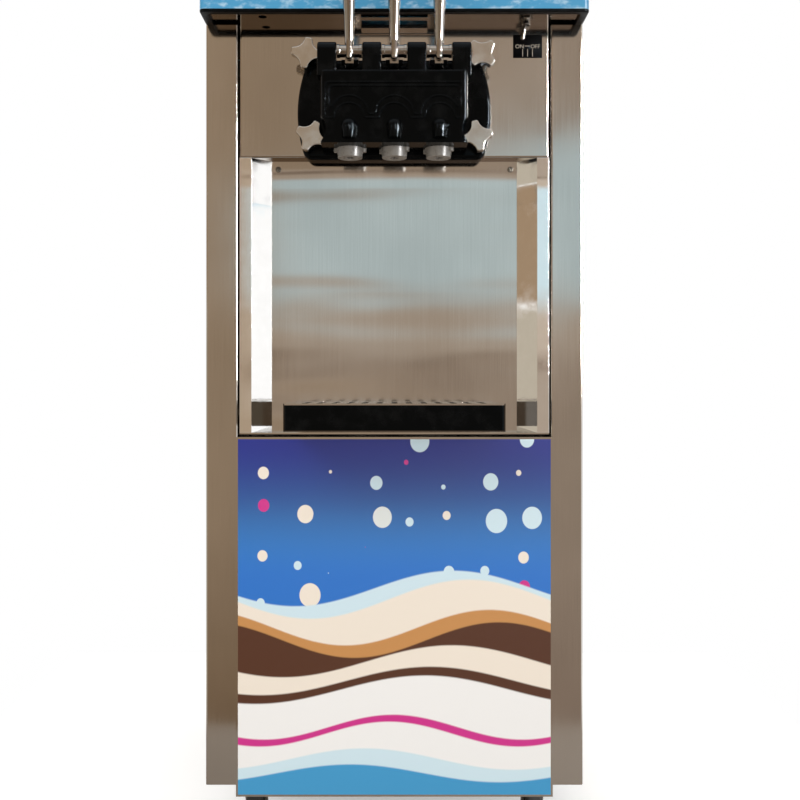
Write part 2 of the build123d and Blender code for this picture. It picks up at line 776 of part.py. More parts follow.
def make_handle(place):
    """Tapered grip with its neck and foot on a cross hub, and the tang behind that lifts the plunger."""
    half = hub_length / 2
    grip_end = handle_length - handle_grip_radius
    profile = Polyline((0, -hub_radius), (handle_root_radius, -hub_radius),
                       (handle_root_radius, 2 * hub_radius), (handle_grip_radius, grip_end))
    profile += ThreePointArc((handle_grip_radius, grip_end),
                             (handle_grip_radius * cos(pi / 4), grip_end + handle_grip_radius * sin(pi / 4)),
                             (0, handle_length))
    profile += Line((0, handle_length), (0, -hub_radius))
    grip = revolve(Plane.XZ * make_face(profile), Axis.Z)
    handle = Rot(handle_lean, 0, 0) * grip
    handle += bar_z(0, -neck_radius, -hub_radius, neck_rise, neck_radius)
    handle += Pos(0, -neck_radius, -hub_radius) * Sphere(neck_radius)
    handle += block(-tang_width / 2, tang_width / 2, -foot_thickness / 2, foot_thickness / 2, -foot_reach, 0)
    handle += bar_x(-half, half, 0, 0, hub_radius)
    for side in sides.values():
        collar = side * (half - collar_width / 2)
        handle += bar_x(collar - collar_width / 2, collar + collar_width / 2, 0, 0, hub_radius + collar_rise)
    arm = Pos(0, tang_length / 2, 0) * Box(tang_width, tang_length, 2 * nose_radius)
    arm += bar_x(-tang_width / 2, tang_width / 2, tang_length, 0, nose_radius)
    handle += Rot(tang_angle, 0, 0) * arm
    handle -= bar_x(-half, half, 0, 0, pin_radius + shaft_gap)
    return Pos(place * valve_pitch, pivot_y, pivot_z) * handle


def make_plunger(place):
    """Valve plunger with seal grooves below and an open notch at its head for the handle's tang."""
    x = place * valve_pitch
    notch = nose_radius + notch_slack
    top = nose_z + notch + notch_lip
    bottom = outlet_bottom + plunger_lower_gap
    flat_y = valve_y - plunger_flat
    plunger = bar_z(x, valve_y, bottom, top, plunger_radius)
    plunger -= block(x - plunger_radius, x + plunger_radius, valve_y - plunger_radius, flat_y,
                     nose_z - plunger_flat_length, top)
    notch_back = pivot_y + tang_length + nose_radius + notch_back_gap
    plunger -= block(x - plunger_radius, x + plunger_radius, flat_y, notch_back,
                     nose_z - notch, nose_z + notch)
    for z in (bottom + 2 * groove_width, bottom + 5 * groove_width):
        ring = bar_z(x, valve_y, z, z + groove_width, plunger_radius)
        plunger -= ring - bar_z(x, valve_y, z, z + groove_width, plunger_radius - groove_depth)
    return plunger


def make_nozzle_cap(place, turn):
    """Bayonet cap round the outlet, with two finger lugs and a star-shaped opening."""
    inner = outlet_radius + slide_gap
    outer = inner + cap_wall
    cap = Pos(0, 0, -cap_height / 2) * Cone(outer - cap_wall / 2, outer, cap_height)
    cap += Pos(0, 0, -cap_lug_height / 2) * extrude(SlotOverall(cap_lug_span, cap_lug_width),
                                                    cap_lug_height / 2, both=True)
    cap -= Pos(0, 0, -(cap_height - cap_floor) / 2) * Cylinder(inner, cap_height - cap_floor)
    points = []
    for k in range(2 * cap_star_points):
        radius = cap_star_outer if k % 2 == 0 else cap_star_inner
        angle = pi * k / cap_star_points
        points.append((radius * cos(angle), radius * sin(angle)))
    cap -= Pos(0, 0, -cap_height) * extrude(make_face(Polyline(*points, close=True)), cap_height)
    return Pos(place * valve_pitch, valve_y, block_bottom - slide_gap) * Rot(0, 0, -turn) * cap


def make_star_knob(corner):
    """Four-pointed knob with hollowed sides on a round hub, drilled from behind for its stud."""
    side = 1 if "right" in corner else -1
    x, rise = stud_upper if "upper" in corner else stud_lower
    star = Circle(knob_tip_radius)
    for k in range(4):
        star -= Rot(0, 0, 45 + 90 * k) * Pos(knob_bite_distance, 0) * Circle(knob_bite_radius)
    star = fillet(star.vertices(), knob_tip_round)
    seat = knob_seat - slide_gap
    star_back = seat - knob_hub_height
    z = barrel_z + rise
    star = Rot(0, 0, knob_turns[corner]) * star
    knob = press_forward(star, side * x, z, star_back - knob_thickness, star_back)
    knob = fillet(knob.faces().sort_by(Axis.Y)[0].edges(), knob_edge)
    knob += bar_y(side * x, star_back, seat, z, knob_hub_radius)
    return knob - bar_y(side * x, seat - knob_hole_depth, seat, z, stud_radius + shaft_gap)


def make_tray_holder():
    """Open steel channel on the splash plate that the drip tray slides into."""
    half = tray_width / 2 + slide_gap + holder_sheet
    low = tray_top - tray_height - slide_gap - holder_sheet
    back = front_y + recess_depth
    front = front_y - tray_reach + sheet
    holder = block(-half, half, front, back, low, tray_top + grid_thickness)
    return holder - block(-half + holder_sheet, half - holder_sheet, front, back - holder_sheet,
                          low + holder_sheet, tray_top + grid_thickness)


def make_drip_tray():
    half = tray_width / 2
    front = front_y - tray_reach
    back = front_y + recess_depth - holder_sheet - slide_gap
    low = tray_top - tray_height
    tray = block(-half, half, front, back, low, tray_top)
    tray = fillet(tray.edges().filter_by(Axis.Z).group_by(Axis.Y)[0], tray_round)
    return tray - block(-half + tray_wall, half - tray_wall, front + tray_wall, back - tray_wall,
                        low + tray_wall, tray_top)


def make_drip_grid():
    """Flat grid on the tray's rim with slots from front to back."""
    half = tray_width / 2
    front = front_y - tray_reach
    back = front_y + recess_depth - holder_sheet - slide_gap
    grid = block(-half, half, front, back, tray_top, tray_top + grid_thickness)
    length = back - front - 2 * grid_slot_margin
    slots = Sketch()
    for k in range(grid_slot_count):
        x = (k - (grid_slot_count - 1) / 2) * grid_slot_pitch
        slots += Pos(x, (front + back) / 2) * SlotOverall(length, grid_slot_width, rotation=90)
    return grid - raise_plan(slots, tray_top - sheet, tray_top + 2 * grid_thickness)


def make_compressor():
    """Hermetic compressor pot on its foot plate."""
    width, depth, thickness = compressor_feet
    pot = bar_z(0, 0, thickness, compressor_height, compressor_radius)
    pot = fillet(pot.edges().filter_by(GeomType.CIRCLE), compressor_round)
    pot += Pos(0, 0, thickness / 2) * Box(width, depth, thickness)
    return Pos(inner_half - compressor_inset, front_y + compressor_setback, base_top) * pot


def make_condenser():
    """Finned condenser block standing on the base pan."""
    width, depth, height = condenser_size
    x0 = condenser_x - width / 2
    y0 = condenser_y
    core = block(x0, x0 + width, y0, y0 + depth, base_top, base_top + height)
    pitch = height / (fin_count + 1)
    for k in range(fin_count):
        z = base_top + (k + 1) * pitch
        core -= block(x0 + fin_gap, x0 + width - fin_gap, y0 + depth - fin_depth, y0 + depth,
                      z - fin_gap / 2, z + fin_gap / 2)
    return core


def fan_place():
    """Middle of the fan's axis: x, back face of the shroud, z."""
    return condenser_x, condenser_y, base_top + condenser_size[2] / 2


def make_fan_shroud():
    """Box in front of the condenser with a round mouth, and arms that carry the fan's motor."""
    x, back, z = fan_place()
    width, _, height = condenser_size
    front = back - shroud_depth
    shroud = block(x - width / 2, x + width / 2, front, back, base_top, base_top + height)
    shroud -= block(x - width / 2 + sheet, x + width / 2 - sheet, front + sheet, back,
                    base_top + sheet, base_top + height - sheet)
    shroud -= bar_y(x, front - sheet, front + 2 * sheet, z, fan_radius + fan_tip_gap)
    motor_back = front - sheet
    shroud += bar_y(x, motor_back - fan_motor_length, motor_back, z, fan_motor_radius)
    reach = fan_radius + fan_tip_gap + fan_arm_width
    half = fan_arm_width / 2
    shroud += block(x - reach, x + reach, motor_back - sheet, motor_back, z - half, z + half)
    for side in sides.values():
        end = x + side * reach
        shroud += block(end - half, end + half, motor_back - sheet, front, z - half, z + half)
    return shroud - bar_y(x, motor_back - fan_motor_length / 2, motor_back, z, fan_shaft_radius + shaft_gap)


def make_condenser_fan():
    """Pitched blades on a hub, on a shaft that runs in the fan's motor."""
    x, back, z = fan_place()
    hub_front = back - shroud_depth + sheet
    blade_width, blade_thickness = fan_blade
    length = fan_radius - fan_hub_radius / 2
    blade = Rot(fan_blade_pitch, 0, 0) * Box(length, blade_thickness, blade_width)
    blade = Pos(fan_radius - length / 2, 0, 0) * blade
    fan = Rot(90, 0, 0) * Cylinder(fan_hub_radius, fan_hub_length)
    for k in range(fan_blade_count):
        fan += Rot(0, 360 / fan_blade_count * k, 0) * blade
    shaft_front = back - shroud_depth - sheet - fan_motor_length / 2 + slide_gap
    fan = Pos(x, hub_front + fan_hub_length / 2, z) * fan
    return fan + bar_y(x, shaft_front, hub_front, z, fan_shaft_radius)


def make_control_box():
    """Electronics box on the header's underside, behind the sign."""
    width, depth, height = control_box_size
    low = trim_top + sheet
    back = front_y - header_reach + header_depth - header_wall - slide_gap
    return block(-width / 2, width / 2, back - depth, back, low, low + height)


def caster_places():
    """Corner name and swivel axis of each caster."""
    x = half_width - caster_inset_x
    front = front_y + caster_inset_front
    rear = rear_y - caster_inset_rear
    return {"front_left": (-x, front), "front_right": (x, front),
            "rear_left": (-x, rear), "rear_right": (x, rear)}


def caster_crown_top():
    return cabinet_floor - caster_plate[1] - caster_boss_height - caster_crown_gap


def make_caster_plates():
    """Top plates bolted under the base pan, each with its swivel boss and king pin."""
    size, thickness = caster_plate
    low = cabinet_floor - thickness
    plates = []
    for x, y in caster_places().values():
        plate = Pos(x, y, cabinet_floor - thickness / 2) * Box(size, size, thickness)
        plate += bar_z(x, y, low - caster_boss_height, low, caster_boss_radius)
        plate += bar_z(x, y, caster_crown_top() - caster_crown, low, caster_king_radius)
        plates.append(plate)
    return Compound(plates)


def make_caster_fork(x, y):
    """Swivel fork that trails behind its king pin, with its axle."""
    top = caster_crown_top()
    half = wheel_width / 2 + wheel_side_gap
    outer = half + caster_leg
    crown = bar_z(0, 0, top - caster_crown, top, outer + caster_leg)
    leg = Polyline((-caster_leg_width / 2, top), (caster_leg_width / 2, top),
                   (caster_trail + caster_leg_width / 4, wheel_radius - caster_leg_width / 4),
                   (caster_trail - caster_leg_width / 4, wheel_radius - caster_leg_width / 4), close=True)
    leg_plane = Plane(origin=(0, 0, 0), x_dir=(0, 1, 0), z_dir=(1, 0, 0))
    fork = crown
    for side in sides.values():
        plate = extrude(leg_plane * make_face(leg), caster_leg / 2, both=True)
        fork += Pos(side * (half + caster_leg / 2), 0, 0) * plate
    fork += bar_x(-outer, outer, caster_trail, wheel_radius, axle_radius)
    fork -= bar_z(0, 0, top - caster_crown, top, caster_king_radius + shaft_gap)
    return Pos(x, y, 0) * fork


def make_caster_wheel(x, y):
    """Rounded wheel that turns on the fork's axle."""
    half = wheel_width / 2
    wheel = bar_x(-half, half, 0, 0, wheel_radius)
    wheel = fillet(wheel.edges().filter_by(GeomType.CIRCLE), wheel_round)
    wheel -= bar_x(-half, half, 0, 0, axle_radius + shaft_gap)
    return Pos(x, y + caster_trail, wheel_radius) * wheel


os.makedirs("parts", exist_ok=True)
write("base_pan", make_base_pan())
write("rear_panel", make_rear_panel())
write("machine_shelf", make_machine_shelf())
write("fascia", make_fascia())
write("splash_plate", make_splash_plate())
write("splash_cheeks", make_splash_cheeks())
write("front_panel", make_front_panel())
write("picture_panel", make_picture_panel())
write("header_edging", make_header_edging())
write("header_shell", make_header_shell())
write("header_underside", make_header_underside())
write("header_bracket", make_header_bracket())
write("top_deck", make_top_deck())
write("switch_body", make_switch_body())
write("switch_lever", make_switch_lever())
write("freezer_barrels", make_freezer_barrels())
write("dispensing_head", make_dispensing_head())
write("handle_pin", make_handle_pin())
write("tray_holder", make_tray_holder())
write("drip_tray", make_drip_tray())
write("drip_grid", make_drip_grid())
write("compressor", make_compressor())
write("condenser", make_condenser())
write("fan_shroud", make_fan_shroud())
write("condenser_fan", make_condenser_fan())
write("control_box", make_control_box())
write("caster_plates", make_caster_plates())
for name, side in sides.items():
    write("side_panel_" + name, make_side_panel(side))
    write("hopper_" + name, make_hopper(side))
    write("hopper_lid_" + name, make_hopper_lid(side))
    write("feed_tube_" + name, make_feed_tube(side))
    write("beater_" + name, make_beater(side))
    write("gear_motor_" + name, make_gear_motor(side))
for (name, place), turn in zip(valves.items(), cap_turns):
    write("handle_" + name, make_handle(place))
    write("plunger_" + name, make_plunger(place))
    write("nozzle_cap_" + name, make_nozzle_cap(place, turn))
for corner in knob_turns:
    write("star_knob_" + corner, make_star_knob(corner))
for corner, (x, y) in caster_places().items():
    write("caster_fork_" + corner, make_caster_fork(x, y))
    write("caster_wheel_" + corner, make_caster_wheel(x, y))
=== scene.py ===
# %% [markdown]
# # A soft-serve machine in steel, black plastic and chrome
# The imported CAD model is the frame of this scene: every sheet, knob and handle is already at its real
# size and place. This lesson only dresses it. It gives each surface a finish made of shader nodes, adds
# the small pieces that are too fine for the CAD, and sets up a plain studio. We start by loading the
# frame.

# %% Load the frame
from math import pi, radians
import bpy
import numpy as np
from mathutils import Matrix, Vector


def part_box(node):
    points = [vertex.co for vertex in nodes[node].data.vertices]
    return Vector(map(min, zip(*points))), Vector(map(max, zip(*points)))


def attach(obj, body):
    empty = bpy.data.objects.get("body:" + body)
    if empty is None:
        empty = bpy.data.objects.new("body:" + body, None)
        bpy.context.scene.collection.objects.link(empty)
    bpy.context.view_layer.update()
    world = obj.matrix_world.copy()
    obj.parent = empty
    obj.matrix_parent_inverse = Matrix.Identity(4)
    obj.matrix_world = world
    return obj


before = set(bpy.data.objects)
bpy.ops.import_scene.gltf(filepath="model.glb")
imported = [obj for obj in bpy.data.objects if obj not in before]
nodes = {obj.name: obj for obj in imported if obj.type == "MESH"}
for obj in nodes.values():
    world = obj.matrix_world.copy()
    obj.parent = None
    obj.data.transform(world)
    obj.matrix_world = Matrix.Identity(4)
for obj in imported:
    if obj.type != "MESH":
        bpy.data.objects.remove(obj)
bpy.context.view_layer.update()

# %% [markdown]
# ## Places that the later steps need
# A finish or a small piece is placed from the CAD nodes themselves, so that it follows if the machine is
# built in another size.

# %% Measure the nodes
fascia_low, fascia_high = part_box("fascia")
picture_low, picture_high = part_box("picture_panel")
front_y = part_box("side_panel_right")[0][1]
recess_y = fascia_high[1]
recess_top = fascia_low[2]
print("front plane at y", round(front_y, 4))
print("recess at y", round(recess_y, 4), "and below z", round(recess_top, 4))

# %% [markdown]
# ## Small helpers for shader nodes
# A finish is a tree of nodes. Writing `tree.nodes.new` and `tree.links.new` for each would hide the idea,
# so `add` makes one node and fills its sockets: a value is set on the socket, and the output of another
# node is linked to it. `new_finish` starts a material and hands back its tree and its main shader. The rest
# build on these two: places, noise, ranges, blends and reliefs. `dress` puts a finish on CAD nodes.

# %% Node helpers
def new_finish(name, **sockets):
    """A material with one Principled shader, with the constant sockets set by name."""
    finish = bpy.data.materials.new(name)
    finish.use_nodes = True
    tree = finish.node_tree
    shader = tree.nodes["Principled BSDF"]
    for socket, value in sockets.items():
        shader.inputs[socket.replace("_", " ")].default_value = value
    return finish, tree, shader


def add(tree, kind, sockets=None, **settings):
    """One shader node; each socket takes a constant or the output of another node."""
    made = tree.nodes.new("ShaderNode" + kind)
    for setting, value in settings.items():
        setattr(made, setting, value)
    for socket, value in (sockets or {}).items():
        if isinstance(value, bpy.types.NodeSocket):
            tree.links.new(value, made.inputs[socket])
        else:
            made.inputs[socket].default_value = value
    return made


def object_place(tree, scale=(1, 1, 1), shift=(0, 0, 0)):
    """Object coordinates in metres, moved and then stretched."""
    coordinates = add(tree, "TexCoord").outputs["Object"]
    moved = add(tree, "VectorMath", {0: coordinates, 1: shift}, operation="ADD").outputs[0]
    return add(tree, "VectorMath", {0: moved, 1: scale}, operation="MULTIPLY").outputs[0]


def noise(tree, scale, detail=3.0, roughness=0.55):
    """Noise on Object coordinates stretched by a scale for each axis, about 0.5 in the middle."""
    place = object_place(tree, scale)
    return add(tree, "TexNoise", {"Vector": place, "Scale": 1.0, "Detail": detail,
                                  "Roughness": roughness}).outputs["Fac"]


def spread(tree, value, low, high, to_low, to_high, smooth=True):
    """Map a value from one range to another, held at both ends."""
    kind = "SMOOTHSTEP" if smooth else "LINEAR"
    return add(tree, "MapRange", {"Value": value, "From Min": low, "From Max": high, "To Min": to_low,
                                  "To Max": to_high}, interpolation_type=kind).outputs["Result"]


def blend_colours(tree, factor, first, second):
    """First colour where the factor is 0, second where it is 1."""
    mixer = add(tree, "Mix", {"Factor": factor}, data_type="RGBA")
    for socket, colour in ((mixer.inputs[6], first), (mixer.inputs[7], second)):
        if isinstance(colour, bpy.types.NodeSocket):
            tree.links.new(colour, socket)
        else:
            socket.default_value = (*colour, 1.0)
    return mixer.outputs[2]


def axis_of(tree, index):
    """One Object coordinate: 0 for X, 1 for Y, 2 for Z."""
    return add(tree, "SeparateXYZ", {0: object_place(tree)}).outputs[index]


def relief(tree, shader, height, strength, distance, under=None):
    """Bump of a height times a distance in metres, laid over an earlier normal if one is given."""
    bump = add(tree, "Bump", {"Height": height, "Strength": strength, "Distance": distance})
    if under is not None:
        tree.links.new(under, bump.inputs["Normal"])
    tree.links.new(bump.outputs["Normal"], shader.inputs["Normal"])
    return bump.outputs["Normal"]


def connect(tree, shader, **outputs):
    """Link outputs to the shader's sockets by name."""
    for socket, output in outputs.items():
        tree.links.new(output, shader.inputs[socket.replace("_", " ")])


def dress(finish, *names):
    """Give these CAD nodes one finish."""
    for name in names:
        mesh = nodes[name].data
        mesh.materials.clear()
        mesh.materials.append(finish)


def each(stem, endings):
    """Node names that share a stem, such as handle_left, handle_centre and handle_right."""
    return [stem + ending for ending in endings]


pair = ("left", "right")
three = ("left", "centre", "right")
print("helpers ready for", len(nodes), "CAD nodes")

# %% [markdown]
# ## Brushed sheet steel
# The cabinet is satin steel with a fine grain that runs up and down on the columns and the front. The
# grain is noise stretched along one axis: about half a millimetre wide and a hand long. It moves the colour,
# the roughness and a very small relief together, and a slow cloud on top stands for wiping marks. Thin
# sheet is never quite flat either, so a second relief bends it over a hand's breadth, by a millimetre or so
# in the splash plate and far less elsewhere: that is what makes the reflections in a steel front wander. The
# splash plate's upper edge also leans forward a little where it is held. A third relief does that, so that
# the plate's top mirrors the room and not the head above it. Noise sizes are counts per metre on each axis.

# %% Brushed steel
upright_grain = (1600.0, 1600.0, 9.0)
level_grain = (9.0, 1600.0, 1600.0)
steel_light = (0.66, 0.62, 0.575)
steel_dark = (0.53, 0.495, 0.455)
wiping_marks = (5.0, 5.0, 3.0)
sheet_bends = (3.0, 3.0, 13.0)
flat_sheet = 0.00015
wavy_sheet = 0.0014
grain_share = 0.4
plate_lean = {"top": recess_top, "reach": 0.04, "lean": 0.0033}


def leaning_top(tree, top, reach, lean):
    """Height in metres of a sheet whose upper edge leans forward: lean * (share of the reach) squared."""
    share = spread(tree, axis_of(tree, 2), top - reach, top, 0.0, 1.0, False)
    square = add(tree, "Math", {0: share, 1: share}, operation="MULTIPLY").outputs[0]
    return add(tree, "Math", {0: square, 1: lean}, operation="MULTIPLY").outputs[0]


def brushed_steel(name, light=steel_light, dark=steel_dark, grain=upright_grain, rough=(0.07, 0.13),
                  bend=flat_sheet, lean=None):
    """Metal whose colour and roughness follow a stretched grain and slow wiping marks, on bent sheet."""
    finish, tree, shader = new_finish(name, Metallic=1.0)
    lines = noise(tree, grain, 4.0, 0.65)
    clouds = noise(tree, wiping_marks, 3.0)
    waves = noise(tree, sheet_bends, 1.0)
    both = add(tree, "Math", {0: lines, 1: grain_share, 2: clouds}, operation="MULTIPLY_ADD").outputs[0]
    colour = blend_colours(tree, spread(tree, both, 0.45, 0.95, 0.0, 1.0), dark, light)
    connect(tree, shader, Base_Color=colour, Roughness=spread(tree, both, 0.5, 0.9, *rough))
    sheet = relief(tree, shader, waves, 1.0, bend)
    if lean is not None:
        sheet = relief(tree, shader, leaning_top(tree, **lean), 1.0, 1.0, sheet)
    relief(tree, shader, lines, 0.02, 0.0003, sheet)
    return finish


cabinet_steel = brushed_steel("cabinet_steel")
splash_steel = brushed_steel("splash_steel", rough=(0.07, 0.12), bend=wavy_sheet, lean=plate_lean)
deck_steel = brushed_steel("deck_steel", grain=level_grain)
shadow_steel = brushed_steel("shadow_steel", (0.47, 0.43, 0.385), (0.38, 0.34, 0.3), level_grain)
# The tray holder is ordinary steel; its near-black tones are painted shade, standing for the dark sides it
# shows beside the tray.
shaded_holder_steel = brushed_steel("shaded_holder_steel", (0.15, 0.13, 0.11), (0.1, 0.09, 0.08), level_grain)
dress(cabinet_steel, "rear_panel", "base_pan", "fascia", "front_panel", "machine_shelf", "freezer_barrels",
      *each("side_panel_", pair), *each("hopper_", pair), *each("feed_tube_", pair))
dress(splash_steel, "splash_plate")
dress(deck_steel, "top_deck", "drip_grid", "header_bracket")
dress(shadow_steel, "header_underside")
dress(shaded_holder_steel, "tray_holder")
print("brushed steel:", cabinet_steel.name, splash_steel.name, deck_steel.name, shadow_steel.name)

# %% [markdown]
# ## Polished steel
# Handles, star knobs, the pivot pin, the switch and the two cheeks beside the splash plate are polished. A
# mirror finish is nearly all reflection, so the finish stays simple: a metal, a low roughness that rises
# where fingers have been, and hairline scratches from wiping. A Bevel node turns the shading round sharp
# edges, so that they catch the light as worn edges do. The cheeks lean forward at their top, as the plate
# does. What the metal shows is decided later by the studio.

# %% Polished finishes
finger_marks = (60.0, 60.0, 60.0)
hairlines = (1500.0, 1500.0, 40.0)
edge_radius = 0.0012
cheek_lean = {"top": recess_top, "reach": 0.065, "lean": 0.0055}


def polished_steel(name, light, dark, rough=(0.04, 0.16), lean=None):
    """Mirror metal with finger marks in its roughness and hairline scratches."""
    finish, tree, shader = new_finish(name, Metallic=1.0)
    marks = noise(tree, finger_marks, 4.0)
    hairs = noise(tree, hairlines, 2.0)
    connect(tree, shader, Base_Color=blend_colours(tree, marks, dark, light),
            Roughness=spread(tree, marks, 0.35, 0.75, *rough))
    soft_edge = add(tree, "Bevel", {"Radius": edge_radius}, samples=4).outputs["Normal"]
    if lean is not None:
        soft_edge = relief(tree, shader, leaning_top(tree, **lean), 1.0, 1.0, soft_edge)
    relief(tree, shader, hairs, 0.03, 0.0002, soft_edge)
    return finish


handle_chrome = polished_steel("handle_chrome", (0.43, 0.4, 0.365), (0.34, 0.31, 0.28))
cheek_steel = polished_steel("cheek_steel", (0.95, 0.94, 0.93), (0.88, 0.87, 0.85), (0.03, 0.09), cheek_lean)
knob_steel = polished_steel("knob_steel", (0.74, 0.71, 0.67), (0.6, 0.57, 0.53), (0.12, 0.22))
dress(handle_chrome, *each("handle_", three), "handle_pin", "switch_body", "switch_lever")
dress(knob_steel, *each("star_knob_upper_", pair), *each("star_knob_lower_", pair))
dress(cheek_steel, "splash_cheeks")
print("polished finishes: handles, knobs, cheeks")

# %% [markdown]
# ## Black plastics
# The dispensing head and the drip tray are glossy black mouldings. Black needs care: a tiny amount of grey
# already looks like dust, so the colour is nearly zero and the interest is in the gloss, which dulls in
# patches, and in the faint orange-peel skin of a moulding. The same Bevel node lets the ribs catch the light.
# The edging, lids and plungers are satin.

# %% Black finishes
black_shine = {"Specular_IOR_Level": 0.1, "Specular_Tint": (0.72, 0.84, 0.95, 1.0)}
gloss_patches = (45.0, 45.0, 45.0)
dust_rise = 0.003


def moulded_black(name, colour, rough, skin):
    """Dark plastic with patchy gloss and a moulded skin of the given grain size in metres."""
    finish, tree, shader = new_finish(name, **black_shine)
    patches = noise(tree, gloss_patches, 3.0)
    grain = noise(tree, (1.0 / skin,) * 3, 2.0)
    dust = spread(tree, patches, 0.45, 0.8, 0.0, 1.0)
    dusty = tuple(channel + dust_rise for channel in colour)
    connect(tree, shader, Base_Color=blend_colours(tree, dust, colour, dusty),
            Roughness=spread(tree, patches, 0.3, 0.75, *rough))
    soft_edge = add(tree, "Bevel", {"Radius": edge_radius}, samples=4).outputs["Normal"]
    relief(tree, shader, grain, 0.06, 0.0003, soft_edge)
    return finish


gloss_black = moulded_black("gloss_black", (0.001, 0.0012, 0.0014), (0.04, 0.1), 0.004)
satin_black = moulded_black("satin_black", (0.0012, 0.0013, 0.0015), (0.34, 0.5), 0.0009)
dress(gloss_black, "dispensing_head", "drip_tray")
dress(satin_black, "header_edging", "control_box", *each("plunger_", three), *each("hopper_lid_", pair))
print("black mouldings dressed")

# %% [markdown]
# ## Caps, paint, bare metal and rubber
# The nozzle caps are grey food plastic, a little stained. Inside, the motors and the compressor are
# enamelled, the condenser and beaters are bare metal, and the casters are zinc plated with rubber tyres.
# They share one recipe: two tones, a roughness range and a grain size.

# %% Plain finishes
def plain_finish(name, light, dark, rough, grain, metallic=0.0, height=0.05):
    """Two tones mixed by noise of one grain size, with its own roughness range and relief."""
    finish, tree, shader = new_finish(name, Metallic=metallic)
    clouds = noise(tree, (1.0 / grain,) * 3, 4.0)
    connect(tree, shader, Base_Color=blend_colours(tree, clouds, dark, light),
            Roughness=spread(tree, clouds, 0.3, 0.7, *rough))
    relief(tree, shader, clouds, height, 0.0004)
    return finish


corners = ("front_left", "front_right", "rear_left", "rear_right")
dress(plain_finish("cap_plastic", (0.25, 0.24, 0.225), (0.13, 0.122, 0.11), (0.25, 0.45), 0.006),
      *each("nozzle_cap_", three))
dress(plain_finish("machine_enamel", (0.06, 0.06, 0.065), (0.035, 0.035, 0.04), (0.3, 0.5), 0.01),
      *each("gear_motor_", pair), "compressor", "fan_shroud")
dress(plain_finish("bare_aluminium", (0.76, 0.77, 0.78), (0.62, 0.63, 0.64), (0.3, 0.5), 0.008, 1.0),
      "condenser", "condenser_fan", *each("beater_", pair))
dress(plain_finish("zinc_plate", (0.66, 0.66, 0.66), (0.48, 0.49, 0.5), (0.28, 0.45), 0.005, 1.0),
      "caster_plates", *each("caster_fork_", corners))
dress(plain_finish("wheel_rubber", (0.05, 0.05, 0.05), (0.025, 0.025, 0.026), (0.55, 0.8), 0.004, 0.0, 0.15),
      *each("caster_wheel_", corners))
print("plain finishes dressed")

# %% [markdown]
# ## Printed fronts
# The header and the lower panel carry glossy prints. They get a plain design of their own: a blue ground,
# sweet-coloured waves across the panel and a scatter of round sprinkles above them. A wave's edge is a
# height plus a sine of the place across the panel, and each edge mixes in the next colour below it. The list
# gives each wave's level and swing in half heights of the panel, its turns and phase in radians, and its ink.

# %% Printed panels
ink = {"deep blue": (0.012, 0.024, 0.24), "blue": (0.02, 0.17, 0.6), "sky": (0.05, 0.32, 0.62),
       "ice": (0.62, 0.8, 0.9), "cream": (0.86, 0.79, 0.7), "caramel": (0.56, 0.27, 0.09),
       "chocolate": (0.085, 0.03, 0.015), "rose": (0.62, 0.03, 0.27), "white": (0.88, 0.89, 0.9)}
header_foot = (0.05, 0.3, 0.55)
header_brow = (0.03, 0.16, 0.5)
picture_waves = [(0.16, 0.10, 3.1, 0.4, "ice"), (0.10, 0.11, 3.1, 0.1, "cream"),
                 (-0.06, 0.10, 3.4, -0.5, "caramel"), (-0.13, 0.10, 3.4, -0.7, "chocolate"),
                 (-0.25, 0.09, 2.9, 0.5, "cream"), (-0.36, 0.08, 2.9, 0.9, "chocolate"),
                 (-0.41, 0.08, 2.9, 1.0, "white"), (-0.62, 0.07, 3.8, 1.6, "rose"),
                 (-0.66, 0.07, 3.8, 1.7, "white"), (-0.8, 0.06, 3.3, 2.2, "ice"),
                 (-0.88, 0.05, 3.3, 2.5, "sky")]
edge_softness = 0.006
sprinkle_cells = 4.2
sprinkle_radius = 0.3
header_clouds = (60.0, 60.0, 110.0)
print_fibre = (900.0, 900.0, 900.0)
print_coat = {"Coat_Weight": 0.25, "Coat_Roughness": 0.12}


def panel_place(tree, low, high):
    """Place across and up a panel, each from -1 to 1."""
    middle = (np.array(low) + np.array(high)) / 2
    half = (np.array(high) - np.array(low)) / 2
    place = object_place(tree, (1 / half[0], 1.0, 1 / half[2]), tuple(-middle))
    parts = add(tree, "SeparateXYZ", {0: place})
    return parts.outputs[0], parts.outputs[2]


def below_wave(tree, across, up, level, swing, turns, phase):
    """1 below the line level + swing * sin(turns * across + phase), 0 above it."""
    angle = add(tree, "Math", {0: across, 1: turns, 2: phase}, operation="MULTIPLY_ADD").outputs[0]
    wave = add(tree, "Math", {0: angle}, operation="SINE").outputs[0]
    line = add(tree, "Math", {0: wave, 1: swing, 2: level}, operation="MULTIPLY_ADD").outputs[0]
    depth = add(tree, "Math", {0: line, 1: up}, operation="SUBTRACT").outputs[0]
    return spread(tree, depth, -edge_softness, edge_softness, 0.0, 1.0)


def sprinkles(tree, across, up, ground, cell_scale, radius):
    """Round dots of three colours, one in most cells of a flat Voronoi pattern."""
    flat = add(tree, "CombineXYZ", {0: across, 1: up})
    cells = add(tree, "TexVoronoi", {"Vector": flat.outputs[0], "Scale": cell_scale, "Randomness": 0.75},
                voronoi_dimensions="2D")
    chance = add(tree, "SeparateColor", {0: cells.outputs["Color"]})
    size = spread(tree, chance.outputs[0], 0.25, 1.0, 0.0, radius, False)
    inside = add(tree, "Math", {0: size, 1: cells.outputs["Distance"]}, operation="SUBTRACT").outputs[0]
    dot = spread(tree, inside, 0.0, 0.02, 0.0, 1.0)
    tint = blend_colours(tree, spread(tree, chance.outputs[1], 0.45, 0.5, 0, 1), ink["ice"], ink["cream"])
    tint = blend_colours(tree, spread(tree, chance.outputs[1], 0.75, 0.8, 0, 1), tint, ink["rose"])
    return blend_colours(tree, dot, ground, tint)


